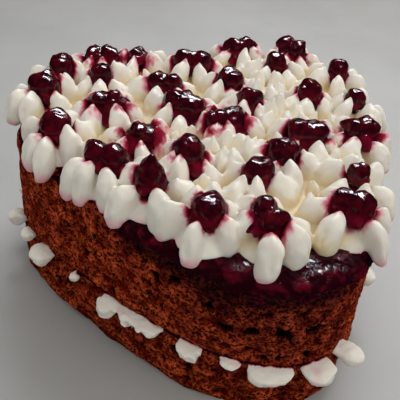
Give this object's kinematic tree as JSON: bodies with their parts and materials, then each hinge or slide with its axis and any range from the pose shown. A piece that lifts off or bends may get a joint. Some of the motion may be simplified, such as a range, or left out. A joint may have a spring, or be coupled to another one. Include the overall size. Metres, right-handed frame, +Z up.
{
  "type": "heart-shaped chocolate layer cake with piped cream and berries",
  "caption": "Heart-shaped chocolate cake of two sponge layers with a cream filling, dark berry jam over the top, and piped cream flowers holding jammy berries.",
  "frame": {"origin": "centre of the footprint, on the flat underside", "axes": "+Z up; -Y toward the point of the heart, +Y toward its notch; X across the lobes"},
  "size_m": [0.2066, 0.1994, 0.1113],
  "materials": {
    "chocolate_sponge": "porous baked chocolate crumb, matte, with open pores and torn holes",
    "whipped_cream": "smooth whipped cream, soft sheen, light passes a few millimetres in",
    "berry_jam": "wet dark cherry-red jam with lumps of fruit, glossy",
    "berry_skin": "whole berries coated with syrup, near-black red, very glossy"
  },
  "bodies": {
    "root": {"lower_sponge": "chocolate_sponge", "upper_sponge": "chocolate_sponge", "filling_cream": "whipped_cream", "cream_flowers": "whipped_cream", "jam_layer": "berry_jam", "berry_01": "berry_skin", "berry_02": "berry_skin", "berry_03": "berry_skin", "berry_04": "berry_skin", "berry_05": "berry_skin", "berry_06": "berry_skin", "berry_07": "berry_skin", "berry_08": "berry_skin", "berry_09": "berry_skin", "berry_10": "berry_skin", "berry_11": "berry_skin", "berry_12": "berry_skin", "berry_13": "berry_skin", "berry_14": "berry_skin", "berry_15": "berry_skin", "berry_16": "berry_skin", "berry_17": "berry_skin", "berry_18": "berry_skin", "berry_19": "berry_skin", "berry_20": "berry_skin", "berry_21": "berry_skin", "berry_22": "berry_skin", "berry_23": "berry_skin", "berry_24": "berry_skin", "berry_25": "berry_skin", "berry_26": "berry_skin", "berry_27": "berry_skin", "berry_28": "berry_skin", "berry_29": "berry_skin", "berry_30": "berry_skin", "berry_31": "berry_skin"}
  },
  "joints": []
}
